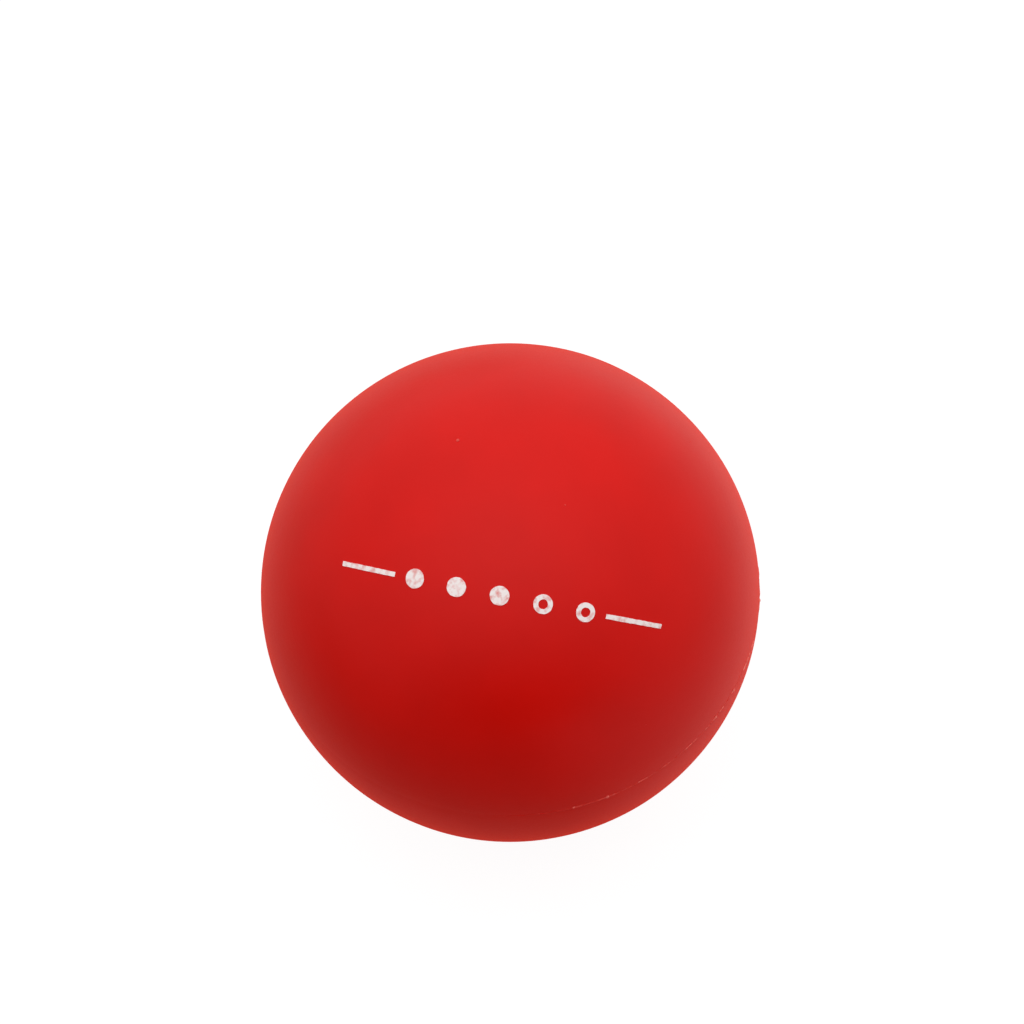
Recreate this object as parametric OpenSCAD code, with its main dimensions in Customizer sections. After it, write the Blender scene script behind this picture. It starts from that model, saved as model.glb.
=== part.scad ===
// Hand exercise ball: a soft foam ball moulded inside a two-part skin.
// Millimetres, +Z up. The origin is the ball's centre, and the mould parts on the plane Z = 0.
// The ball stands on the trimmed stub of its pour gate, and is squeezed along Z.

/* [Ball] */
// Outside diameter of the skin
ball_d = 63; // [50:0.5:80]
// Thickness of the skin
skin_t = 0.8; // [0.5:0.1:2]
// Bond line between the skin and the foam inside it
bond_gap = 0.1; // [0.05:0.05:0.3]

/* [Parting line] */
// Thickness of the web of flash between the two halves of the skin
web_t = 0.2; // [0.15:0.05:0.4]
// Width of the trimmed bead on the outside of the web
bead_w = 0.4; // [0.3:0.05:0.8]
// Height of the bead above the skin
bead_h = 0.1; // [0.05:0.01:0.15]

/* [Vents] */
// Number of mould vents along the parting line
vent_count = 45; // [12:1:60]
// Diameter of the pip that each vent leaves
pip_d = 0.6; // [0.5:0.1:1.2]
// Height of a pip above the skin
pip_h = 0.16; // [0.1:0.02:0.3]
// Gap between a pip and the bead on either side of it
pip_gap = 0.05; // [0.02:0.01:0.15]

/* [Pour gate] */
// Diameter of the stub in the pour gate
gate_d = 8; // [4:0.5:14]
// Length of the stub, from its trimmed face into the foam
gate_l = 5; // [3:0.5:10]
// Clearance around the stub
gate_gap = 0.05; // [0.02:0.01:0.2]

/* [Print] */
// Height of the print's middle above the parting plane, in degrees
print_latitude = 61; // [40:1:75]
// Turn of the print's middle about the vertical, away from the front, in degrees
print_longitude = -5; // [-180:1:180]
// Slope of the print, down to its right-hand end, in degrees
print_slope = 12; // [-45:1:45]
// Number of dots in the firmness scale
dot_count = 5; // [3:1:6]
// Number of dots, from the left, that are filled in
dot_filled = 3; // [0:1:6]
// Diameter of a dot
dot_d = 2.4; // [2:0.1:4]
// Distance between the middles of neighbouring dots
dot_pitch = 5.4; // [4.5:0.1:7]
// Width of a printed line
line_w = 0.6; // [0.4:0.1:0.9]
// Length of the dash at each end of the scale
dash_l = 8; // [2:0.5:8]
// Thickness of the ink
ink_t = 0.1; // [0.05:0.01:0.2]

/* [Hidden] */
$fn = 96;

ball_r = ball_d / 2;
skin_inner_r = ball_r - skin_t;
core_r = skin_inner_r - bond_gap;

// Radius of the arc that rises bead_h over a chord of bead_w
bead_arc_r = (bead_w * bead_w / 4 + bead_h * bead_h) / (2 * bead_h);
vent_step = 360 / vent_count;

gate_hole_d = gate_d + 2 * gate_gap;
gate_end_z = gate_l - ball_r;

// Distance along the skin from the middle of the print to the middle of an end dash
dash_offset = (dot_count * dot_pitch + dash_l) / 2;
// Angle at the ball's centre for each millimetre along the skin
degrees_per_mm = 180 / (PI * ball_r);

skin_red = [0.80, 0.08, 0.07];
flash_red = [0.86, 0.27, 0.24];
foam_pink = [0.90, 0.48, 0.43];
ink_white = [0.96, 0.95, 0.94];

// The closed layer between two spheres about the ball's centre.
module layer(inner_r, outer_r) {
    difference() {
        sphere(r = outer_r);
        sphere(r = inner_r);
    }
}

// One half of the skin, with its rim on the upper face of the web.
module half_skin() {
    intersection() {
        layer(skin_inner_r, ball_r);
        translate([-ball_d, -ball_d, web_t / 2]) cube([2 * ball_d, 2 * ball_d, ball_d]);
    }
}

// The gate's bore, from below the ball up to the end of the stub.
module gate_bore() {
    translate([0, 0, -ball_d]) cylinder(d = gate_hole_d, h = ball_d + gate_end_z);
}

// A copy of the children at each vent, with +Z turned to point out of the ball.
module at_each_vent() {
    for (i = [0 : vent_count - 1])
        rotate([0, 90, i * vent_step]) children();
}

// A copy of the children at a distance along the print, with +Z turned to point out of the ball.
module along_print(distance) {
    rotate([0, 0, print_longitude])
        rotate([90 - print_latitude, 0, 0])
            rotate([0, 0, -print_slope])
                rotate([0, distance * degrees_per_mm, 0])
                    children();
}

// Outline of one dot of the scale, filled or drawn as a ring.
module dot_outline(filled) {
    difference() {
        cylinder(d = dot_d, h = ball_d);
        if (!filled)
            cylinder(d = dot_d - 2 * line_w, h = ball_d);
    }
}

// Outline of one end dash of the scale.
module dash_outline() {
    translate([-dash_l / 2, -line_w / 2, 0]) cube([dash_l, line_w, ball_d]);
}

// What stands on the skin to a height, within the outline of the children.
module on_skin(height) {
    intersection() {
        layer(ball_r, ball_r + height);
        children();
    }
}

// Open-cell foam ball, socketed for the gate's stub.
module foam_core() {
    color(foam_pink)
        difference() {
            sphere(r = core_r);
            gate_bore();
        }
}

// Palm-side half of the skin, pierced by the pour gate.
module lower_skin() {
    color(skin_red)
        difference() {
            mirror([0, 0, 1]) half_skin();
            gate_bore();
        }
}

// Finger-side half of the skin.
module upper_skin() {
    color(skin_red) half_skin();
}

// Flash along the parting line: a web between the rims of the skin, and the trimmed bead outside it.
module seam_bead() {
    color(flash_red)
        difference() {
            rotate_extrude() {
                translate([core_r, -web_t / 2]) square([ball_r - core_r, web_t]);
                intersection() {
                    translate([ball_r + bead_h - bead_arc_r, 0]) circle(r = bead_arc_r);
                    translate([ball_r, -bead_w]) square(2 * bead_w);
                }
            }
            at_each_vent()
                translate([0, 0, ball_r]) cylinder(d = pip_d + 2 * pip_gap, h = bead_w);
        }
}

// Trimmed stubs of the mould's vents, seated on the skin in the breaks of the bead.
module vent_pips() {
    color(flash_red)
        at_each_vent()
            on_skin(pip_h) cylinder(d = pip_d, h = ball_d);
}

// Plug of foam that set in the pour gate, cut off level with the bottom of the ball.
module gate_stub() {
    color(foam_pink)
        translate([0, 0, -ball_r]) cylinder(d = gate_d, h = gate_l);
}

// Firmness scale in pad-printed ink: a row of dots between two dashes.
module print_marks() {
    color(ink_white) {
        for (i = [0 : dot_count - 1])
            on_skin(ink_t) along_print((i - (dot_count - 1) / 2) * dot_pitch) dot_outline(i < dot_filled);
        for (side = [-1, 1])
            on_skin(ink_t) along_print(side * dash_offset) dash_outline();
    }
}

foam_core();
lower_skin();
upper_skin();
seam_bead();
vent_pips();
gate_stub();
print_marks();
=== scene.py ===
import math

import bpy
from mathutils import Matrix, Vector


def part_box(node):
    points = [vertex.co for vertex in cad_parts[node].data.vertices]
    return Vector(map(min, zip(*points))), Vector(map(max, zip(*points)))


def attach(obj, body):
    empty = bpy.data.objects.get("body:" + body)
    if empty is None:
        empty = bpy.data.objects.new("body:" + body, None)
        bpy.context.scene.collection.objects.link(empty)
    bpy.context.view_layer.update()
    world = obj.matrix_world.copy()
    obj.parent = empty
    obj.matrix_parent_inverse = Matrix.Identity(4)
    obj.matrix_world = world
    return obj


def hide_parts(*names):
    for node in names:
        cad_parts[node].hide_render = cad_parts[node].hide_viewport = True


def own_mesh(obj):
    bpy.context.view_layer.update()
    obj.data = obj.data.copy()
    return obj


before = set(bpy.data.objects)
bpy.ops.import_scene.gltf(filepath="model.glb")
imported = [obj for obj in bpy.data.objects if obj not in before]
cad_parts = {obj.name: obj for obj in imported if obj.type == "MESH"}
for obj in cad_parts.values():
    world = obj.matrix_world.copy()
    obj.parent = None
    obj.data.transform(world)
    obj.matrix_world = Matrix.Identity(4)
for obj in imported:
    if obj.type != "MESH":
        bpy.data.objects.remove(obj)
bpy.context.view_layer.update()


# Foam core: the ball of open-cell polyurethane foam that gives the squeeze.
# It is poured through the gate and swells until it fills the skin, to which it bonds all round.
# A socket at the bottom is where the foam of the core runs on into the stub in the gate.
MM = 0.001
BALL_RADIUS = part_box("upper_skin")[1].z
CORE_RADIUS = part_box("foam_core")[1].z
CORE_SUBDIVISIONS = 7
# Real cells are about half a millimetre across. The ones that the mesh carries are drawn coarser.
CORE_CELL = 1.4 * MM
CORE_CELL_DEPTH = 0.12 * MM
GATE_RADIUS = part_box("gate_stub")[1].x
GATE_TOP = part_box("gate_stub")[1].z
GATE_CLEARANCE = 0.05 * MM
GATE_BORE_RADIUS = GATE_RADIUS + GATE_CLEARANCE
GATE_SEGMENTS = 96
SHARP_EDGE = math.radians(40)


def linear(hex_colour):
    """A colour written as an sRGB hex value, as linear red, green, blue and alpha."""
    parts = [int(hex_colour[i:i + 2], 16) / 255 for i in (1, 3, 5)]
    return [p / 12.92 if p <= 0.04045 else ((p + 0.055) / 1.055) ** 2.4 for p in parts] + [1.0]


def node(tree, kind, links=None, **settings):
    """Adds one node with its settings, and links its inputs to nodes or sockets or sets them to values."""
    made = tree.nodes.new(kind)
    for name, value in settings.items():
        setattr(made, name, value)
    for key, value in (links or {}).items():
        if isinstance(value, bpy.types.Node):
            value = next(socket for socket in value.outputs if socket.enabled)
        if isinstance(value, bpy.types.NodeSocket):
            tree.links.new(value, made.inputs[key])
        else:
            made.inputs[key].default_value = value
    return made


def new_material(name):
    """An empty material, its tree, and the place on the object that its patterns read."""
    material = bpy.data.materials.new(name)
    material.use_nodes = True
    material.node_tree.nodes.clear()
    return material, material.node_tree, node(material.node_tree, "ShaderNodeTexCoord").outputs["Object"]


def new_growth(name, sizes, gives="Geometry"):
    """An empty Geometry Nodes tree that gives one output, and its named inputs, each of a kind."""
    tree = bpy.data.node_groups.new(name, "GeometryNodeTree")
    tree.interface.new_socket(gives, in_out="OUTPUT", socket_type="NodeSocket" + gives)
    for size, kind in sizes.items():
        tree.interface.new_socket(size, in_out="INPUT", socket_type="NodeSocket" + kind)
    return tree, node(tree, "NodeGroupInput").outputs


def grown(name, tree, sizes):
    """A plain mesh piece, grown by a tree at these sizes and smooth up to its sharp edges."""
    piece = bpy.data.objects.new(name, bpy.data.meshes.new(name))
    bpy.context.scene.collection.objects.link(piece)
    growth = piece.modifiers.new("growth", "NODES")
    growth.node_group = tree
    for item in tree.interface.items_tree:
        if item.in_out == "INPUT":
            growth[item.identifier] = sizes[item.name]
    evaluated = bpy.context.evaluated_depsgraph_get()
    mesh = bpy.data.meshes.new_from_object(piece.evaluated_get(evaluated), depsgraph=evaluated)
    mesh.set_sharp_from_angle(angle=SHARP_EDGE)
    # The shapes that a tree starts from bring an empty material slot, which no face uses.
    if mesh.materials[0] is None:
        mesh.materials.pop(index=0)
    mesh.name = name
    piece.modifiers.clear()
    piece.data = mesh
    return piece


def fit(piece, solid, body):
    """Puts a piece in the place of its solid on that solid's body, hides the solid and gives the piece a
    mesh of its own.
    """
    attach(piece, body)
    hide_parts(solid)
    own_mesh(piece)


def finish_growth(tree, size, geometry):
    """Ends a tree with a piece that is shaded smooth and made of one material."""
    smooth = node(tree, "GeometryNodeSetShadeSmooth", {"Geometry": geometry})
    finished = node(tree, "GeometryNodeSetMaterial", {"Geometry": smooth, "Material": size["Material"]})
    node(tree, "NodeGroupOutput", {0: finished})


def open_cell_foam():
    """Open-cell polyurethane foam, dyed in the pour: paler than the coat, matt and pitted with cells, with
    painted shade darkening the floor of each cell.
    """
    cell = 0.45 * MM
    cell_depth = 0.15 * MM
    # The darker red at the floor of each cell is painted shade, not a colour of the foam itself.
    shaded_cell_floor = linear("#A83A30")
    cell_wall = linear("#DC7F70")
    material, tree, place = new_material("open_cell_polyurethane_foam")
    cells = node(tree, "ShaderNodeTexVoronoi", {"Vector": place, "Scale": 1 / cell})
    wall = node(tree, "ShaderNodeMapRange", {"Value": cells, "From Max": 0.7})
    colour = node(tree, "ShaderNodeMix", {0: wall, 6: shaded_cell_floor, 7: cell_wall}, data_type="RGBA")
    relief = node(tree, "ShaderNodeBump", {"Height": cells, "Strength": 0.8, "Distance": cell_depth})
    shader = node(tree, "ShaderNodeBsdfPrincipled", {"Base Color": colour, "Normal": relief,
                                                     "Roughness": 0.9})
    node(tree, "ShaderNodeOutputMaterial", {"Surface": shader})
    return material


FOAM = open_cell_foam()


def outward_growth():
    """Moves points along the ball's radius by a distance."""
    tree, size = new_growth("outward_move", {"Geometry": "Geometry", "Distance": "Float"})
    at = node(tree, "GeometryNodeInputPosition")
    outward = node(tree, "ShaderNodeVectorMath", {0: at}, operation="NORMALIZE")
    move = node(tree, "ShaderNodeVectorMath", {0: outward, "Scale": size["Distance"]}, operation="SCALE")
    moved = node(tree, "GeometryNodeSetPosition", {"Geometry": size["Geometry"], "Offset": move})
    node(tree, "NodeGroupOutput", {0: moved})
    return tree


OUTWARD = outward_growth()


def cell_growth():
    """How far the open cells of cut foam go in, from nothing on their walls to the full depth."""
    tree, size = new_growth("open_cells", {"Cell": "Float", "Depth": "Float"}, gives="Float")
    per_cell = node(tree, "ShaderNodeMath", {0: 1.0, 1: size["Cell"]}, operation="DIVIDE")
    cells = node(tree, "ShaderNodeTexVoronoi", {"Scale": per_cell})
    pit = node(tree, "ShaderNodeMapRange", {"Value": cells, "From Max": 0.6, "To Min": size["Depth"],
                                            "To Max": 0.0})
    node(tree, "NodeGroupOutput", {0: pit})
    return tree


CELLS = cell_growth()


def foam_ball_growth():
    """A ball with open cells all over it and a socket bored up into it from below."""
    tree, size = new_growth("foam_ball", {
        "Radius": "Float", "Subdivisions": "Int", "Cell": "Float", "Cell Depth": "Float",
        "Socket Radius": "Float", "Socket Top": "Float", "Material": "Material"})
    ball = node(tree, "GeometryNodeMeshIcoSphere", {"Radius": size["Radius"],
                                                    "Subdivisions": size["Subdivisions"]})
    pits = node(tree, "GeometryNodeGroup", {"Cell": size["Cell"], "Depth": size["Cell Depth"]},
                node_tree=CELLS)
    inward = node(tree, "ShaderNodeMath", {0: pits, 1: -1.0}, operation="MULTIPLY")
    pitted = node(tree, "GeometryNodeGroup", {"Geometry": ball, "Distance": inward}, node_tree=OUTWARD)
    bore = node(tree, "GeometryNodeMeshCylinder", {
        "Vertices": GATE_SEGMENTS, "Radius": size["Socket Radius"], "Depth": size["Radius"]})
    half_bore = node(tree, "ShaderNodeMath", {0: size["Radius"], 1: 0.5}, operation="MULTIPLY")
    bore_height = node(tree, "ShaderNodeMath", {0: size["Socket Top"], 1: half_bore}, operation="SUBTRACT")
    bore_place = node(tree, "ShaderNodeCombineXYZ", {"Z": bore_height})
    placed = node(tree, "GeometryNodeTransform", {"Geometry": bore, "Translation": bore_place})
    cut = node(tree, "GeometryNodeMeshBoolean", {"Mesh 1": pitted, "Mesh 2": placed},
               operation="DIFFERENCE", solver="MANIFOLD")
    finish_growth(tree, size, cut)
    return tree


foam_core = grown("foam_ball", foam_ball_growth(), {
    "Radius": CORE_RADIUS, "Subdivisions": CORE_SUBDIVISIONS, "Cell": CORE_CELL,
    "Cell Depth": CORE_CELL_DEPTH, "Socket Radius": GATE_BORE_RADIUS, "Socket Top": GATE_TOP,
    "Material": FOAM})
fit(foam_core, "foam_core", "palm_half")


# Skin, palm side: the red coat that was sprayed into the lower half of the mould before the pour.
# It is a closed satin film bonded to the foam, with a thin rolled edge at the parting line
# and a round hole where the foam was poured in.
SKIN_WALL = 0.8 * MM
SKIN_SEGMENTS = 192
SKIN_RINGS = 128
RIM_ROLL_DEPTH = 0.012 * MM
RIM_ROLL_WIDTH = 0.8 * MM
GATE_ROLL_DEPTH = 0.15 * MM
GATE_ROLL_WIDTH = 1.2 * MM
GATE_EDGE_ANGLE = -math.acos(GATE_BORE_RADIUS / BALL_RADIUS)
UNEVEN_DEPTH = 0.05 * MM
UNEVEN_WIDTH = 17 * MM
UNEVEN_SEED = 3.0
# Nibs are bits of dust caught in the coat: about this many small ones on each half, and one large one.
NIB_COUNT = 7
NIB_DENSITY = NIB_COUNT / (2 * math.pi * BALL_RADIUS ** 2)
NIB_RADIUS = 0.2 * MM
NIB_WHITENING = 0.34
# The small ones have these shares of the large one's radius.
DUST_SMALLEST = 0.3
DUST_LARGEST = 0.6
DUST_WHITENING = 0.3
PALM_NIB_SEED = 5
PALM_LARGEST_NIB = Vector((-0.6, 0.5, -0.6))
# Points of a mesh that are nearer than this become one.
WELD = 0.0001 * MM
COAT_GLOSS = {"Specular IOR Level": 0.16, "Sheen Weight": 0.96, "Sheen Roughness": 0.4,
              "Sheen Tint": linear("#FF3A1A")}


def red_coat():
    """Red in-mould polyurethane coat: satin, with a fine orange peel from the mould's release film,
    slight clouds where the pigment settled, and a soft bloom in its own red towards the edge."""
    peel = 0.8 * MM
    peel_depth = 0.03 * MM
    # A real grain is about 0.1 mm, too fine for the render to show.
    grain = 0.25 * MM
    grain_depth = 0.02 * MM
    cloud = 11 * MM
    thin_red = linear("#CA0700")
    full_red = linear("#D20801")
    material, tree, place = new_material("red_polyurethane_mould_coat")
    clouds = node(tree, "ShaderNodeTexNoise", {"Vector": place, "Scale": 1 / cloud, "Detail": 3.0})
    shade = node(tree, "ShaderNodeMapRange", {"Value": clouds, "From Min": 0.3, "From Max": 0.7})
    colour = node(tree, "ShaderNodeMix", {0: shade, 6: thin_red, 7: full_red}, data_type="RGBA")
    grains = node(tree, "ShaderNodeTexNoise", {"Vector": place, "Scale": 1 / grain, "Detail": 2.0})
    dryness = node(tree, "ShaderNodeMapRange", {"Value": grains, "From Min": 0.25, "From Max": 0.75,
                                                "To Min": 0.295, "To Max": 0.375})
    fine = node(tree, "ShaderNodeBump", {"Height": grains, "Strength": 0.12, "Distance": grain_depth})
    peels = node(tree, "ShaderNodeTexNoise", {"Vector": place, "Scale": 1 / peel, "Detail": 1.0})
    relief = node(tree, "ShaderNodeBump", {"Height": peels, "Strength": 0.25, "Distance": peel_depth,
                                           "Normal": fine})
    shader = node(tree, "ShaderNodeBsdfPrincipled", {"Base Color": colour, "Roughness": dryness,
                                                     "Normal": relief, **COAT_GLOSS})
    node(tree, "ShaderNodeOutputMaterial", {"Surface": shader})
    return material


RED_COAT = red_coat()


def trimmed_flash():
    """Polyurethane flash cut with a blade: the coat's red and satin where it was cut level, but matt and
    paler pink where it was torn, by an attribute of the mesh. The pink is partly the flash whitened by
    stress and partly a painted glint for light catching the torn bits."""
    streak = 0.4 * MM
    streak_depth = 0.03 * MM
    level_red = linear("#CE0700")
    # The torn pink is partly flash whitened by stress and partly a painted glint, standing in for light
    # catching the torn bits.
    torn_pink_and_glint = linear("#FF8C80")
    material, tree, place = new_material("trimmed_polyurethane_flash")
    torn = node(tree, "ShaderNodeAttribute", attribute_name="whitening_and_glint").outputs["Fac"]
    streaks = node(tree, "ShaderNodeTexNoise", {"Vector": place, "Scale": 1 / streak, "Detail": 2.0})
    spread = node(tree, "ShaderNodeMapRange", {"Value": streaks, "From Min": 0.35, "From Max": 0.6,
                                               "To Min": 0.35, "To Max": 1.0})
    white = node(tree, "ShaderNodeMath", {0: torn, 1: spread}, operation="MULTIPLY")
    colour = node(tree, "ShaderNodeMix", {0: white, 6: level_red, 7: torn_pink_and_glint}, data_type="RGBA")
    dryness = node(tree, "ShaderNodeMapRange", {"Value": torn, "To Min": 0.35, "To Max": 0.6})
    relief = node(tree, "ShaderNodeBump", {"Height": streaks, "Strength": 0.3, "Distance": streak_depth})
    shader = node(tree, "ShaderNodeBsdfPrincipled", {"Base Color": colour, "Roughness": dryness,
                                                     "Normal": relief, **COAT_GLOSS})
    node(tree, "ShaderNodeOutputMaterial", {"Surface": shader})
    return material


FLASH = trimmed_flash()


def unevenness_growth():
    """Swells points in and out along the ball's radius, as the mould's wall and the foam's shrinkage do."""
    tree, size = new_growth("mould_unevenness", {"Geometry": "Geometry", "Depth": "Float", "Width": "Float",
                                                 "Seed": "Float"})
    per_width = node(tree, "ShaderNodeMath", {0: 1.0, 1: size["Width"]}, operation="DIVIDE")
    swell = node(tree, "ShaderNodeTexNoise", {"W": size["Seed"], "Scale": per_width, "Detail": 1.0},
                 noise_dimensions="4D")
    height = node(tree, "ShaderNodeMapRange", {"Value": swell, "To Min": -1.0, "To Max": 1.0})
    reach = node(tree, "ShaderNodeMath", {0: height, 1: size["Depth"]}, operation="MULTIPLY")
    swollen = node(tree, "GeometryNodeGroup", {"Geometry": size["Geometry"], "Distance": reach},
                   node_tree=OUTWARD)
    node(tree, "NodeGroupOutput", {0: swollen})
    return tree


UNEVENNESS = unevenness_growth()
UNEVEN_INPUTS = {"Uneven Depth": "Float", "Uneven Width": "Float", "Uneven Seed": "Float"}
UNEVEN = {"Uneven Depth": UNEVEN_DEPTH, "Uneven Width": UNEVEN_WIDTH, "Uneven Seed": UNEVEN_SEED}


def unevened(tree, size, geometry):
    """The geometry of a piece that was shaped by the mould, with the mould's unevenness."""
    return node(tree, "GeometryNodeGroup", {"Geometry": geometry, "Depth": size["Uneven Depth"],
                                            "Width": size["Uneven Width"], "Seed": size["Uneven Seed"]},
                node_tree=UNEVENNESS)


def layer_growth():
    """Turns the faces of a thin sheet outward and gives it a wall inward, closed along its edges."""
    tree, size = new_growth("walled_layer", {"Sheet": "Geometry", "Wall": "Float"})
    facing = node(tree, "GeometryNodeInputNormal")
    at = node(tree, "GeometryNodeInputPosition")
    side = node(tree, "ShaderNodeVectorMath", {0: facing, 1: at}, operation="DOT_PRODUCT")
    inside_out = node(tree, "FunctionNodeCompare", {0: side}, operation="LESS_THAN")
    outer = node(tree, "GeometryNodeFlipFaces", {"Mesh": size["Sheet"], "Selection": inside_out})
    inward = node(tree, "ShaderNodeMath", {0: size["Wall"], 1: -1.0}, operation="MULTIPLY")
    pushed = node(tree, "GeometryNodeExtrudeMesh", {"Mesh": outer, "Offset Scale": inward,
                                                    "Individual": False})
    inner = node(tree, "GeometryNodeFlipFaces", {"Mesh": pushed})
    both = node(tree, "GeometryNodeJoinGeometry", {0: outer})
    tree.links.new(inner.outputs[0], both.inputs[0])
    closed = node(tree, "GeometryNodeMergeByDistance", {"Geometry": both, "Distance": WELD})
    smooth = node(tree, "GeometryNodeSetShadeSmooth", {"Geometry": closed})
    node(tree, "NodeGroupOutput", {0: smooth})
    return tree


LAYER = layer_growth()


def half_skin_growth():
    """A bowl swept round the parting circle, from its rolled rim to the pole or to the gate's rolled edge,
    with a few bits of dust caught in the coat."""
    tree, size = new_growth("half_skin", {
        "Radius": "Float", "Rim Angle": "Float", "Pole Angle": "Float", "Segments": "Int", "Rings": "Int",
        "Wall": "Float", "Rim Roll Depth": "Float", "Rim Roll Width": "Float", "Gate Roll Depth": "Float",
        "Gate Roll Width": "Float", **UNEVEN_INPUTS, "Nib Density": "Float", "Nib Radius": "Float",
        "Nib Seed": "Int", "Largest Nib Place": "Vector", "Coat": "Material", "Nib": "Material"})
    circle = node(tree, "GeometryNodeCurvePrimitiveCircle", {"Resolution": size["Segments"],
                                                             "Radius": size["Radius"]})
    rail = node(tree, "GeometryNodeSetCurveNormal", {"Curve": circle}, mode="Z_UP")
    sweep = node(tree, "ShaderNodeMath", {0: size["Pole Angle"], 1: size["Rim Angle"]}, operation="SUBTRACT")
    arc = node(tree, "GeometryNodeCurveArc", {"Resolution": size["Rings"], "Radius": size["Radius"],
                                              "Start Angle": size["Rim Angle"], "Sweep Angle": sweep})
    back = node(tree, "ShaderNodeMath", {0: size["Radius"], 1: -1.0}, operation="MULTIPLY")
    to_rail = node(tree, "ShaderNodeCombineXYZ", {"X": back})
    section = node(tree, "GeometryNodeTransform", {"Geometry": arc, "Translation": to_rail,
                                                   "Scale": (1, -1, 1)})
    bowl = node(tree, "GeometryNodeCurveToMesh", {"Curve": rail, "Profile Curve": section})
    sheet = node(tree, "GeometryNodeMergeByDistance", {"Geometry": bowl, "Distance": WELD})
    at = node(tree, "GeometryNodeInputPosition")
    outward = node(tree, "ShaderNodeVectorMath", {0: at}, operation="NORMALIZE")
    parts = node(tree, "ShaderNodeSeparateXYZ", {0: outward})
    angle = node(tree, "ShaderNodeMath", {0: parts.outputs["Z"]}, operation="ARCSINE")
    for edge_angle, depth, width in (("Rim Angle", "Rim Roll Depth", "Rim Roll Width"),
                                     ("Pole Angle", "Gate Roll Depth", "Gate Roll Width")):
        turn = node(tree, "ShaderNodeMath", {0: angle, 1: size[edge_angle]}, operation="SUBTRACT")
        clear = node(tree, "ShaderNodeMath", {0: turn}, operation="ABSOLUTE")
        along = node(tree, "ShaderNodeMath", {0: clear, 1: size["Radius"]}, operation="MULTIPLY")
        drop = node(tree, "ShaderNodeMapRange", {"Value": along, "From Max": size[width],
                                                 "To Min": size[depth], "To Max": 0.0},
                    interpolation_type="SMOOTHSTEP")
        inward = node(tree, "ShaderNodeMath", {0: drop, 1: -1.0}, operation="MULTIPLY")
        sheet = node(tree, "GeometryNodeGroup", {"Geometry": sheet, "Distance": inward}, node_tree=OUTWARD)
    uneven = unevened(tree, size, sheet)
    skin = node(tree, "GeometryNodeGroup", {"Sheet": uneven, "Wall": size["Wall"]}, node_tree=LAYER)
    coated = node(tree, "GeometryNodeSetMaterial", {"Geometry": skin, "Material": size["Coat"]})
    scattered = node(tree, "GeometryNodeDistributePointsOnFaces", {
        "Mesh": uneven, "Density": size["Nib Density"], "Seed": size["Nib Seed"]})
    largest = node(tree, "GeometryNodePoints", {"Count": 1, "Position": size["Largest Nib Place"]})
    small = node(tree, "FunctionNodeRandomValue", {2: DUST_SMALLEST, 3: DUST_LARGEST,
                                                   "Seed": size["Nib Seed"]})
    nib = node(tree, "GeometryNodeMeshIcoSphere", {"Radius": size["Nib Radius"], "Subdivisions": 3})
    dull = node(tree, "GeometryNodeStoreNamedAttribute", {"Geometry": nib, "Name": "whitening_and_glint",
                                                          "Value": DUST_WHITENING})
    bright = node(tree, "GeometryNodeStoreNamedAttribute", {"Geometry": nib, "Name": "whitening_and_glint",
                                                            "Value": NIB_WHITENING})
    dust = node(tree, "GeometryNodeInstanceOnPoints", {"Points": scattered, "Instance": dull,
                                                      "Scale": small})
    speck = node(tree, "GeometryNodeInstanceOnPoints", {"Points": largest, "Instance": bright})
    nibs = node(tree, "GeometryNodeJoinGeometry", {0: dust})
    tree.links.new(speck.outputs[0], nibs.inputs[0])
    real_nibs = node(tree, "GeometryNodeRealizeInstances", {0: nibs})
    smooth_nibs = node(tree, "GeometryNodeSetShadeSmooth", {"Geometry": real_nibs})
    coated_nibs = node(tree, "GeometryNodeSetMaterial", {"Geometry": smooth_nibs, "Material": size["Nib"]})
    finished = node(tree, "GeometryNodeJoinGeometry", {0: coated})
    tree.links.new(coated_nibs.outputs[0], finished.inputs[0])
    node(tree, "NodeGroupOutput", {0: finished})
    return tree


HALF_SKIN = half_skin_growth()


def half_skin(name, rim_height, pole_angle, gate_roll_depth, nib_seed, largest_nib):
    """One half of the skin, from its rim to its pole angle, which is negative on the palm side."""
    return grown(name, HALF_SKIN, {
        "Radius": BALL_RADIUS, "Rim Angle": math.asin(rim_height / BALL_RADIUS), "Pole Angle": pole_angle,
        "Segments": SKIN_SEGMENTS, "Rings": SKIN_RINGS, "Wall": SKIN_WALL, "Rim Roll Depth": RIM_ROLL_DEPTH,
        "Rim Roll Width": RIM_ROLL_WIDTH, "Gate Roll Depth": gate_roll_depth,
        "Gate Roll Width": GATE_ROLL_WIDTH, **UNEVEN, "Nib Density": NIB_DENSITY, "Nib Radius": NIB_RADIUS,
        "Nib Seed": nib_seed, "Largest Nib Place": largest_nib.normalized() * BALL_RADIUS,
        "Coat": RED_COAT, "Nib": FLASH})


lower_skin = half_skin("skin_palm_side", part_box("lower_skin")[1].z, GATE_EDGE_ANGLE, GATE_ROLL_DEPTH,
                       PALM_NIB_SEED, PALM_LARGEST_NIB)
fit(lower_skin, "lower_skin", "palm_half")


# Skin, finger side: the same red coat, sprayed into the upper half of the mould.
# It has no gate, so it closes over the top of the ball, and it carries the print.
FINGER_NIB_SEED = 9
FINGER_LARGEST_NIB = Vector((-0.149, 0.163, 0.975))
NO_GATE_ROLL = 0.0

upper_skin = half_skin("skin_finger_side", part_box("upper_skin")[0].z, math.pi / 2, NO_GATE_ROLL,
                       FINGER_NIB_SEED, FINGER_LARGEST_NIB)
fit(upper_skin, "upper_skin", "finger_half")


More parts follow.
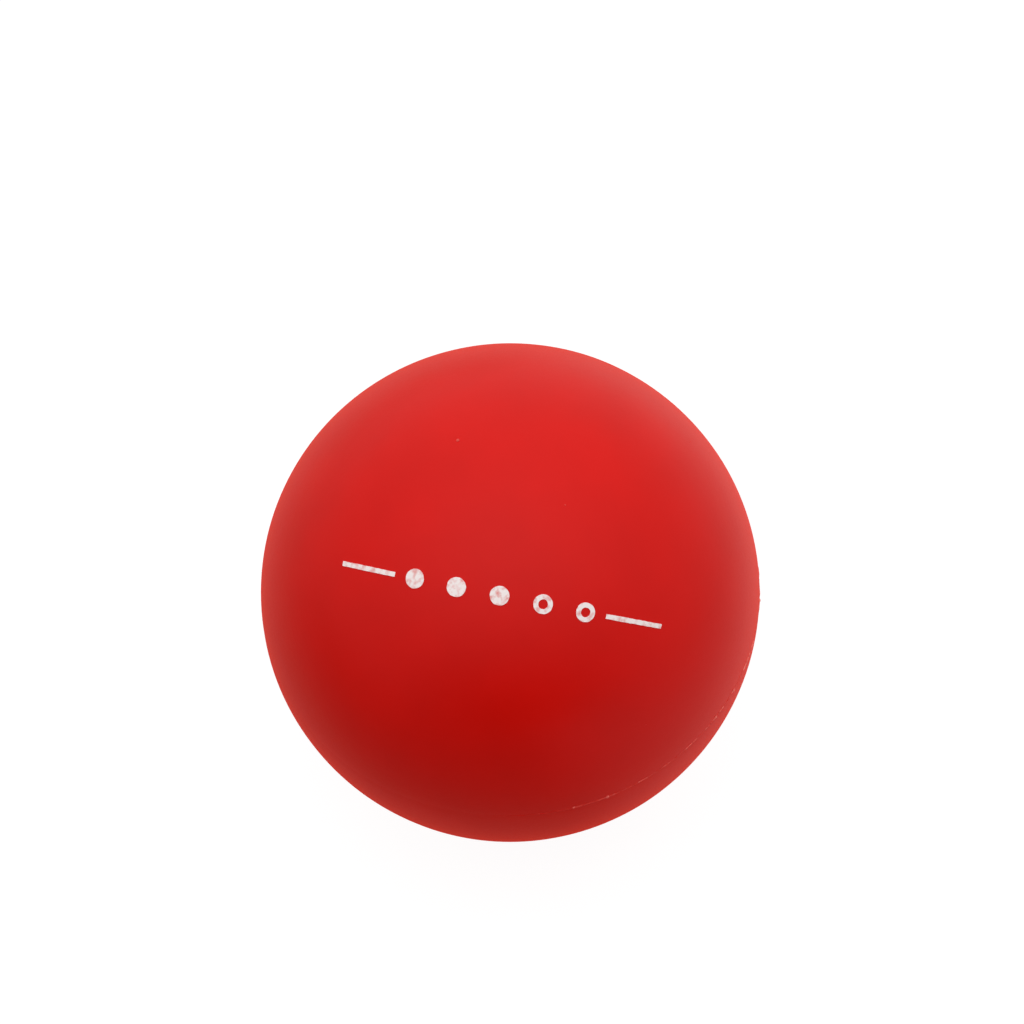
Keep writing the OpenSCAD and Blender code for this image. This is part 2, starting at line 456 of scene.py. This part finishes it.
# Parting bead: the flash that pressed out between the two halves of the mould, cut back with a blade.
# A thin web of it stays between the rims of the skin, level with them. On one side the blade has cut
# the bead that stood on the web quite away, and on the rest it has left it in short dashes.
WEB_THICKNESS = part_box("upper_skin")[0].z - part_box("lower_skin")[1].z
BEAD_SINK = 0.1 * MM
BEAD_CENTRE_RADIUS = BALL_RADIUS - BEAD_SINK
BEAD_THINNEST = 0.08 * MM
BEAD_THICKEST = 0.18 * MM
BEAD_POINTS = 1440
BEAD_DASH = 1.3 * MM
BEAD_SEED = 58.0
# A dash begins and is whole at these heights of the noise, and this share of it is left between dashes.
DASH_BEGINS = 0.45
DASH_WHOLE = 0.6
BETWEEN_DASHES = 0.42
# The pink of the dashes is partly flash whitened by stress and partly a painted glint for light catching
# them.
BEAD_WHITENING_AND_GLINT = 0.95
LEVEL_SIDE = Vector((-0.82, -0.57, 0)).normalized()
# Round the ring, by the cosine of the turn from the level side: where the flash ends, where it is whole
# again, and where it is torn the most and painted palest, partly as painted glint.
LEVEL_AT = 0.73
WHOLE_AT = 0.53
TORN_AND_GLINT_AT = -0.6


def flash_left_growth():
    """How much of the flash the blade has left round the parting line, from 0 on its level side to 1."""
    tree, size = new_growth("flash_left", {"Level Side": "Vector", "Level At": "Float", "Whole At": "Float"},
                            gives="Float")
    at = node(tree, "GeometryNodeInputPosition")
    outward = node(tree, "ShaderNodeVectorMath", {0: at}, operation="NORMALIZE")
    likeness = node(tree, "ShaderNodeVectorMath", {0: outward, 1: size["Level Side"]},
                    operation="DOT_PRODUCT")
    left = node(tree, "ShaderNodeMapRange", {
        "Value": likeness.outputs["Value"], "From Min": size["Whole At"], "From Max": size["Level At"],
        "To Min": 1.0, "To Max": 0.0})
    node(tree, "NodeGroupOutput", {0: left})
    return tree


FLASH_LEFT = flash_left_growth()


def bead_growth():
    """A flat web round the parting circle with a tube in it, which swells into dashes and is painted paler
    pink away from the level side, partly as flash torn and whitened by stress and partly as painted glint."""
    tree, size = new_growth("parting_bead", {
        "Web Inner": "Float", "Web Outer": "Float", "Web Thickness": "Float", "Path Radius": "Float",
        "Points": "Int", "Thinnest": "Float", "Thickest": "Float", "Dash": "Float", "Seed": "Float",
        "Level Side": "Vector", "Level At": "Float", "Whole At": "Float", "Torn And Glint At": "Float",
        "Whitening And Glint": "Float", **UNEVEN_INPUTS, "Material": "Material"})
    across = node(tree, "ShaderNodeMath", {0: size["Web Outer"], 1: size["Web Inner"]}, operation="SUBTRACT")
    half_across = node(tree, "ShaderNodeMath", {0: across, 1: 0.5}, operation="MULTIPLY")
    web_radius = node(tree, "ShaderNodeMath", {0: size["Web Inner"], 1: half_across}, operation="ADD")
    web_circle = node(tree, "GeometryNodeCurvePrimitiveCircle", {"Resolution": size["Points"],
                                                                 "Radius": web_radius})
    web_rail = node(tree, "GeometryNodeSetCurveNormal", {"Curve": web_circle}, mode="Z_UP")
    web_section = node(tree, "GeometryNodeCurvePrimitiveQuadrilateral", {"Width": across,
                                                                         "Height": size["Web Thickness"]})
    web = node(tree, "GeometryNodeCurveToMesh", {"Curve": web_rail, "Profile Curve": web_section})
    circle = node(tree, "GeometryNodeCurvePrimitiveCircle", {"Resolution": size["Points"],
                                                             "Radius": size["Path Radius"]})
    per_dash = node(tree, "ShaderNodeMath", {0: 1.0, 1: size["Dash"]}, operation="DIVIDE")
    breaks = node(tree, "ShaderNodeTexNoise", {"W": size["Seed"], "Scale": per_dash, "Detail": 1.0},
                  noise_dimensions="4D")
    dash = node(tree, "ShaderNodeMapRange", {"Value": breaks, "From Min": DASH_BEGINS,
                                             "From Max": DASH_WHOLE, "To Min": BETWEEN_DASHES})
    left = node(tree, "GeometryNodeGroup", {
        "Level Side": size["Level Side"], "Level At": size["Level At"],
        "Whole At": size["Whole At"]}, node_tree=FLASH_LEFT)
    swell = node(tree, "ShaderNodeMath", {0: dash, 1: left}, operation="MULTIPLY")
    thickness = node(tree, "ShaderNodeMix", {0: swell, 2: size["Thinnest"], 3: size["Thickest"]})
    profile = node(tree, "GeometryNodeCurvePrimitiveCircle", {"Resolution": 10, "Radius": 1.0})
    tube = node(tree, "GeometryNodeCurveToMesh", {"Curve": circle, "Profile Curve": profile,
                                                  "Scale": thickness})
    tearing = node(tree, "GeometryNodeGroup", {
        "Level Side": size["Level Side"], "Level At": size["Level At"],
        "Whole At": size["Torn And Glint At"]}, node_tree=FLASH_LEFT)
    tears = node(tree, "ShaderNodeMath", {0: dash, 1: tearing}, operation="MULTIPLY")
    white = node(tree, "ShaderNodeMath", {0: tears, 1: size["Whitening And Glint"]}, operation="MULTIPLY")
    torn = node(tree, "GeometryNodeStoreNamedAttribute", {"Geometry": tube, "Name": "whitening_and_glint",
                                                          "Value": white})
    flash = node(tree, "GeometryNodeJoinGeometry", {0: web})
    tree.links.new(torn.outputs[0], flash.inputs[0])
    uneven = unevened(tree, size, flash)
    finish_growth(tree, size, uneven)
    return tree


seam_bead = grown("parting_bead", bead_growth(), {
    "Web Inner": CORE_RADIUS, "Web Outer": BALL_RADIUS - RIM_ROLL_DEPTH, "Web Thickness": WEB_THICKNESS,
    "Path Radius": BEAD_CENTRE_RADIUS, "Points": BEAD_POINTS, "Thinnest": BEAD_THINNEST,
    "Thickest": BEAD_THICKEST, "Dash": BEAD_DASH, "Seed": BEAD_SEED, "Level Side": LEVEL_SIDE,
    "Level At": LEVEL_AT, "Whole At": WHOLE_AT, "Torn And Glint At": TORN_AND_GLINT_AT, "Whitening And Glint": BEAD_WHITENING_AND_GLINT, **UNEVEN,
    "Material": FLASH})
fit(seam_bead, "seam_bead", "parting_ring")


# Vent pips: what set in the small vents along the mould's parting line, nipped off one by one.
# They stand in a row of low domes, each a little different, and lower where the flash was cut level.
PIP_COUNT = 45
PIP_RADIUS = 0.3 * MM
PIP_SINK = 0.17 * MM
PIP_SEED = 970
# They are these shares of that radius, and the larger one is, the more it was torn when it was nipped off
# and the paler pink it is painted, partly as flash whitened by stress and partly as painted glint.
PIP_SMALLEST = 0.65
PIP_LARGEST = 1.1
PIP_LEVEL = 0.55
# How pale the pips are painted: partly torn flash whitened by stress, partly a painted glint.
PIP_LEAST_TORN_AND_GLINT = 0.4
PIP_MOST_TORN_AND_GLINT = 1.0


def pips_growth():
    """A ring of small domes of uneven size, lower on the level side."""
    tree, size = new_growth("vent_pips", {
        "Ring Radius": "Float", "Count": "Int", "Pip Radius": "Float", "Smallest": "Float",
        "Largest": "Float", "Level": "Float", "Seed": "Int", "Level Side": "Vector", "Level At": "Float",
        "Whole At": "Float", **UNEVEN_INPUTS, "Material": "Material"})
    ring = node(tree, "GeometryNodeMeshCircle", {"Vertices": size["Count"], "Radius": size["Ring Radius"]})
    dome = node(tree, "GeometryNodeMeshIcoSphere", {"Radius": size["Pip Radius"], "Subdivisions": 3})
    nipped = node(tree, "FunctionNodeRandomValue", {2: size["Smallest"], 3: size["Largest"],
                                                    "Seed": size["Seed"]})
    left = node(tree, "GeometryNodeGroup", {
        "Level Side": size["Level Side"], "Level At": size["Level At"],
        "Whole At": size["Whole At"]}, node_tree=FLASH_LEFT)
    scale = node(tree, "ShaderNodeMix", {0: left, 2: size["Level"], 3: nipped})
    tear = node(tree, "FunctionNodeRandomValue", {2: PIP_LEAST_TORN_AND_GLINT, 3: PIP_MOST_TORN_AND_GLINT, "Seed": size["Seed"]})
    white = node(tree, "ShaderNodeMath", {0: tear, 1: left}, operation="MULTIPLY")
    torn = node(tree, "GeometryNodeStoreNamedAttribute", {"Geometry": ring, "Name": "whitening_and_glint",
                                                          "Value": white})
    pips = node(tree, "GeometryNodeInstanceOnPoints", {"Points": torn, "Instance": dome, "Scale": scale})
    real = node(tree, "GeometryNodeRealizeInstances", {0: pips})
    uneven = unevened(tree, size, real)
    finish_growth(tree, size, uneven)
    return tree


vent_pips = grown("row_of_pips", pips_growth(), {
    "Ring Radius": BALL_RADIUS - PIP_SINK, "Count": PIP_COUNT, "Pip Radius": PIP_RADIUS,
    "Smallest": PIP_SMALLEST, "Largest": PIP_LARGEST, "Level": PIP_LEVEL, "Seed": PIP_SEED,
    "Level Side": LEVEL_SIDE, "Level At": LEVEL_AT, "Whole At": WHOLE_AT, **UNEVEN, "Material": FLASH})
fit(vent_pips, "vent_pips", "parting_ring")


# Gate stub: the plug of foam that set in the pour gate, cut off level with the bottom of the ball.
# Its cut face shows open cells, and the ball stands on it.
GATE_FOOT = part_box("gate_stub")[0].z
STUB_CELL = 0.9 * MM
STUB_CELL_DEPTH = 0.25 * MM


def stub_growth():
    """A short round plug with open cells over its cut lower face."""
    tree, size = new_growth("gate_plug", {"Radius": "Float", "Foot": "Float", "Top": "Float",
                                          "Cell": "Float", "Cell Depth": "Float", "Material": "Material"})
    length = node(tree, "ShaderNodeMath", {0: size["Top"], 1: size["Foot"]}, operation="SUBTRACT")
    plug = node(tree, "GeometryNodeMeshCylinder", {
        "Vertices": GATE_SEGMENTS, "Side Segments": 8, "Fill Segments": 32, "Radius": size["Radius"],
        "Depth": length}, fill_type="TRIANGLE_FAN")
    half = node(tree, "ShaderNodeMath", {0: length, 1: 0.5}, operation="MULTIPLY")
    middle = node(tree, "ShaderNodeMath", {0: size["Foot"], 1: half}, operation="ADD")
    place = node(tree, "ShaderNodeCombineXYZ", {"Z": middle})
    placed = node(tree, "GeometryNodeTransform", {"Geometry": plug, "Translation": place})
    pits = node(tree, "GeometryNodeGroup", {"Cell": size["Cell"], "Depth": size["Cell Depth"]},
                node_tree=CELLS)
    upward = node(tree, "ShaderNodeCombineXYZ", {"Z": pits})
    pitted = node(tree, "GeometryNodeSetPosition", {"Geometry": placed, "Offset": upward,
                                                    "Selection": plug.outputs["Bottom"]})
    finish_growth(tree, size, pitted)
    return tree


gate_stub = grown("gate_plug", stub_growth(), {
    "Radius": GATE_RADIUS, "Foot": GATE_FOOT, "Top": GATE_TOP, "Cell": STUB_CELL,
    "Cell Depth": STUB_CELL_DEPTH, "Material": FOAM})
fit(gate_stub, "gate_stub", "palm_half")


# Print: a generic firmness scale, three dots out of five, in white ink stamped on with a soft pad.
# The pad leaves a film a few hundredths of a millimetre thick, with slightly ragged edges and thin spots.
INK = 0.06 * MM
DOT_COUNT = 5
DOT_FILLED = 3
DOT_RADIUS = 1.2 * MM
DOT_PITCH = 5.4 * MM
DOT_SEGMENTS = 72
LINE_WIDTH = 0.6 * MM
DASH_LENGTH = 8 * MM
RAGGEDNESS = 0.12 * MM
RAG_LENGTH = 0.6 * MM
PRINT_LATITUDE = math.radians(61)
PRINT_LONGITUDE = math.radians(-5)
PRINT_SLOPE = math.radians(12)


def pad_print_ink():
    """White pad-printing ink: matt and chalky, letting the red through in spots where the film is thin."""
    spot = 0.7 * MM
    full_white = linear("#F5E9E7")
    thin_white = linear("#E28B87")
    material, tree, place = new_material("white_pad_print_ink")
    spots = node(tree, "ShaderNodeTexNoise", {"Vector": place, "Scale": 1 / spot, "Detail": 3.0})
    thin = node(tree, "ShaderNodeMapRange", {"Value": spots, "From Min": 0.45, "From Max": 0.75})
    colour = node(tree, "ShaderNodeMix", {0: thin, 6: full_white, 7: thin_white}, data_type="RGBA")
    shader = node(tree, "ShaderNodeBsdfPrincipled", {"Base Color": colour, "Roughness": 0.7})
    node(tree, "ShaderNodeOutputMaterial", {"Surface": shader})
    return material


def print_growth():
    """A row of dots between two dashes, laid on the ball along a great circle and turned to its place."""
    tree, size = new_growth("firmness_scale", {
        "Skin Radius": "Float", "Ink": "Float", "Dots": "Int", "Filled": "Int", "Dot Radius": "Float",
        "Pitch": "Float", "Line Width": "Float", "Dash Length": "Float", "Dash Spacing": "Float",
        "Raggedness": "Float", "Rag Length": "Float", "Turn": "Rotation", **UNEVEN_INPUTS,
        "Material": "Material"})
    bare_radius = node(tree, "ShaderNodeMath", {0: size["Dot Radius"], 1: size["Line Width"]},
                       operation="SUBTRACT")
    disc = node(tree, "GeometryNodeMeshCone", {
        "Vertices": DOT_SEGMENTS, "Side Segments": 8, "Radius Top": 0.0,
        "Radius Bottom": size["Dot Radius"], "Depth": size["Ink"]}, fill_type="NONE")
    ring = node(tree, "GeometryNodeMeshCone", {
        "Vertices": DOT_SEGMENTS, "Side Segments": 4, "Radius Top": bare_radius,
        "Radius Bottom": size["Dot Radius"], "Depth": size["Ink"]}, fill_type="NONE")
    dash = node(tree, "GeometryNodeMeshGrid", {"Size X": size["Dash Length"], "Size Y": size["Line Width"],
                                               "Vertices X": 60, "Vertices Y": 7})
    index = node(tree, "GeometryNodeInputIndex")
    filled = node(tree, "FunctionNodeCompare", {2: index, 3: size["Filled"]}, data_type="INT",
                  operation="LESS_THAN")
    bare = node(tree, "FunctionNodeCompare", {2: index, 3: size["Filled"]}, data_type="INT",
                operation="GREATER_EQUAL")
    to_skin = node(tree, "ShaderNodeCombineXYZ", {"Z": size["Skin Radius"]})
    marks = node(tree, "GeometryNodeJoinGeometry")
    for mark, chosen, count, pitch in ((disc, filled, size["Dots"], size["Pitch"]),
                                       (ring, bare, size["Dots"], size["Pitch"]),
                                       (dash, True, 2, size["Dash Spacing"])):
        row = node(tree, "GeometryNodePoints", {"Count": count})
        last = node(tree, "ShaderNodeMath", {0: count, 1: 1.0}, operation="SUBTRACT")
        middle = node(tree, "ShaderNodeMath", {0: last, 1: 0.5}, operation="MULTIPLY")
        steps = node(tree, "ShaderNodeMath", {0: index, 1: middle}, operation="SUBTRACT")
        along = node(tree, "ShaderNodeMath", {0: steps, 1: pitch}, operation="MULTIPLY")
        angle = node(tree, "ShaderNodeMath", {0: along, 1: size["Skin Radius"]}, operation="DIVIDE")
        turn = node(tree, "ShaderNodeCombineXYZ", {"Y": angle})
        raised = node(tree, "GeometryNodeTransform", {"Geometry": mark, "Translation": to_skin})
        laid = node(tree, "GeometryNodeInstanceOnPoints", {
            "Points": row, "Instance": raised, "Selection": chosen, "Rotation": turn})
        tree.links.new(laid.outputs[0], marks.inputs[0])
    real = node(tree, "GeometryNodeRealizeInstances", {0: marks})
    placed = node(tree, "GeometryNodeTransform", {"Geometry": real, "Rotation": size["Turn"]})
    sheet = node(tree, "GeometryNodeMergeByDistance", {"Geometry": placed, "Distance": WELD})
    at = node(tree, "GeometryNodeInputPosition")
    per_rag = node(tree, "ShaderNodeMath", {0: 1.0, 1: size["Rag Length"]}, operation="DIVIDE")
    rags = node(tree, "ShaderNodeTexNoise", {"Scale": per_rag, "Detail": 2.0})
    both_ways = node(tree, "ShaderNodeVectorMath", {0: rags.outputs["Color"], 1: (0.5, 0.5, 0.5)},
                     operation="SUBTRACT")
    pull = node(tree, "ShaderNodeVectorMath", {0: both_ways, "Scale": size["Raggedness"]}, operation="SCALE")
    pulled = node(tree, "ShaderNodeVectorMath", {0: at, 1: pull}, operation="ADD")
    outward = node(tree, "ShaderNodeVectorMath", {0: pulled}, operation="NORMALIZE")
    top_radius = node(tree, "ShaderNodeMath", {0: size["Skin Radius"], 1: size["Ink"]}, operation="ADD")
    top = node(tree, "ShaderNodeVectorMath", {0: outward, "Scale": top_radius}, operation="SCALE")
    on_ball = node(tree, "GeometryNodeSetPosition", {"Geometry": sheet, "Position": top})
    uneven = unevened(tree, size, on_ball)
    film = node(tree, "GeometryNodeGroup", {"Sheet": uneven, "Wall": size["Ink"]}, node_tree=LAYER)
    finished = node(tree, "GeometryNodeSetMaterial", {"Geometry": film, "Material": size["Material"]})
    node(tree, "NodeGroupOutput", {0: finished})
    return tree


print_turn = (Matrix.Rotation(PRINT_LONGITUDE, 3, "Z")
              @ Matrix.Rotation(math.pi / 2 - PRINT_LATITUDE, 3, "X")
              @ Matrix.Rotation(-PRINT_SLOPE, 3, "Z")).to_euler()
print_marks = grown("firmness_scale", print_growth(), {
    "Skin Radius": BALL_RADIUS, "Ink": INK, "Dots": DOT_COUNT, "Filled": DOT_FILLED,
    "Dot Radius": DOT_RADIUS, "Pitch": DOT_PITCH, "Line Width": LINE_WIDTH, "Dash Length": DASH_LENGTH,
    "Dash Spacing": DOT_COUNT * DOT_PITCH + DASH_LENGTH, "Raggedness": RAGGEDNESS, "Rag Length": RAG_LENGTH,
    "Turn": print_turn, **UNEVEN, "Material": pad_print_ink()})
fit(print_marks, "print_marks", "finger_half")


# Floor, light and camera: a plain white sweep in a light tent, brightest overhead and at the back.
# The sweep is lit through from below, so that it shows white with hardly a shadow on it.
# The camera looks down on the ball through a long lens.
FLOOR_HALF = 0.9
FLOOR_GAP = 0.05 * MM
FLOOR_HEIGHT = GATE_FOOT - FLOOR_GAP
FLOOR_SHADOW = "#646464"
FLOOR_GLOW = 0.92
# What the sweep sends back to the ball is less. Near the ball's foot it is red, because the two light
# each other there, and it grows to the right and to the back.
FLOOR_BOUNCE = "#757575"
FOOT_GLOW = (0.46, 0.06, 0.045)
FOOT_REACH = 0.13
BOUNCE_SIDES = (0.345, 0.335, 0.0)
BOUNCE_FROM = (0.01, -0.04, 0.0)
BOUNCE_TO = (0.065, 0.13, 1.0)
# The tent's brightness towards positive x, y and z, and on the sides opposite to them
TENT_POSITIVE = Vector((0.79, 1.05, 1.59))
TENT_NEGATIVE = Vector((0.655, 0.01, 0.0))

floor_mesh = bpy.data.meshes.new("floor")
floor_corners = [(-FLOOR_HALF, -FLOOR_HALF), (FLOOR_HALF, -FLOOR_HALF), (FLOOR_HALF, FLOOR_HALF),
                 (-FLOOR_HALF, FLOOR_HALF)]
floor_mesh.from_pydata([(x, y, FLOOR_HEIGHT) for x, y in floor_corners], [], [(0, 1, 2, 3)])
floor = bpy.data.objects.new("floor", floor_mesh)
bpy.context.scene.collection.objects.link(floor)
sweep, sweep_tree, sweep_place = new_material("white_translucent_sweep")
seen = node(sweep_tree, "ShaderNodeLightPath").outputs["Is Camera Ray"]
sweep_colour = node(sweep_tree, "ShaderNodeMix", {0: seen, 6: linear(FLOOR_BOUNCE), 7: linear(FLOOR_SHADOW)},
                    data_type="RGBA")
far = node(sweep_tree, "ShaderNodeMapRange", {6: sweep_place, 7: BOUNCE_FROM, 8: BOUNCE_TO},
           data_type="FLOAT_VECTOR")
graded = node(sweep_tree, "ShaderNodeVectorMath", {0: far, 1: BOUNCE_SIDES}, operation="DOT_PRODUCT")
from_foot = node(sweep_tree, "ShaderNodeVectorMath", {0: sweep_place, 1: (0, 0, FLOOR_HEIGHT)},
                 operation="DISTANCE")
near = node(sweep_tree, "ShaderNodeMapRange", {"Value": from_foot.outputs["Value"], "From Max": FOOT_REACH,
                                               "To Min": 1.0, "To Max": 0.0})
bounce = node(sweep_tree, "ShaderNodeVectorMath", {0: near, 1: FOOT_GLOW, 2: graded.outputs["Value"]},
              operation="MULTIPLY_ADD")
glow = node(sweep_tree, "ShaderNodeMix", {0: seen, 6: bounce, 7: [FLOOR_GLOW] * 3 + [1.0]}, data_type="RGBA")
sweep_shader = node(sweep_tree, "ShaderNodeBsdfPrincipled", {
    "Base Color": sweep_colour, "Roughness": 1.0, "Specular IOR Level": 0.0,
    "Emission Color": glow, "Emission Strength": 1.0})
# From below, the sweep is clear, so that the underside of the ball can be seen.
below = node(sweep_tree, "ShaderNodeNewGeometry").outputs["Backfacing"]
clear = node(sweep_tree, "ShaderNodeBsdfTransparent")
one_sided = node(sweep_tree, "ShaderNodeMixShader", {0: below, 1: sweep_shader, 2: clear})
node(sweep_tree, "ShaderNodeOutputMaterial", {"Surface": one_sided})
floor_mesh.materials.append(sweep)

# The tent's brightness in a direction is the mean of its six sides, weighted by the direction's squares.
world = bpy.data.worlds.new("light_tent")
bpy.context.scene.world = world
world.use_nodes = True
tent = world.node_tree
tent.nodes.clear()
direction = node(tent, "ShaderNodeTexCoord").outputs["Generated"]
side_signs = node(tent, "ShaderNodeVectorMath", {0: direction}, operation="SIGN")
half_gap = (TENT_POSITIVE - TENT_NEGATIVE) / 2
mean = (TENT_POSITIVE + TENT_NEGATIVE) / 2
sides = node(tent, "ShaderNodeVectorMath", {0: side_signs, 1: half_gap, 2: mean}, operation="MULTIPLY_ADD")
squares = node(tent, "ShaderNodeVectorMath", {0: direction, 1: direction}, operation="MULTIPLY")
brightness = node(tent, "ShaderNodeVectorMath", {0: squares, 1: sides}, operation="DOT_PRODUCT")
straight = node(tent, "ShaderNodeLightPath").outputs["Is Camera Ray"]
strength = node(tent, "ShaderNodeMix", {0: straight, 2: brightness.outputs["Value"], 3: 1.0})
background = node(tent, "ShaderNodeBackground", {"Color": linear("#FFFFFF"), "Strength": strength})
node(tent, "ShaderNodeOutputWorld", {"Surface": background})

IMAGE_SIDE = 1024
SENSOR = 36
VIEW_ELEVATION = math.radians(61.6)
VIEW_ROLL = math.radians(-5.2)
VIEW_DISTANCE = 25 * BALL_RADIUS
BALL_CENTRE_PIXEL = (510.2, 592.4)
BALL_RADIUS_PIXELS = 249.4
# Pixels for a unit of slope away from the line of sight, from the ball's outline at that distance
pixels_per_slope = BALL_RADIUS_PIXELS * math.sqrt(VIEW_DISTANCE ** 2 - BALL_RADIUS ** 2) / BALL_RADIUS
camera_data = bpy.data.cameras.new("camera")
camera_data.sensor_width = SENSOR
camera_data.lens = pixels_per_slope * SENSOR / IMAGE_SIDE
camera = bpy.data.objects.new("camera", camera_data)
bpy.context.scene.collection.objects.link(camera)
towards_camera = Vector((0, -math.cos(VIEW_ELEVATION), math.sin(VIEW_ELEVATION)))
look = (-towards_camera).to_track_quat("-Z", "Y").to_matrix()
tilt = math.atan((BALL_CENTRE_PIXEL[1] - IMAGE_SIDE / 2) / pixels_per_slope)
turn = math.atan((BALL_CENTRE_PIXEL[0] - IMAGE_SIDE / 2) / pixels_per_slope)
aim = (look @ Matrix.Rotation(VIEW_ROLL, 3, "Z") @ Matrix.Rotation(tilt, 3, "X")
       @ Matrix.Rotation(turn, 3, "Y"))
camera.matrix_world = Matrix.Translation(towards_camera * VIEW_DISTANCE) @ aim.to_4x4()
bpy.context.scene.camera = camera
bpy.context.scene.view_settings.view_transform = "Standard"
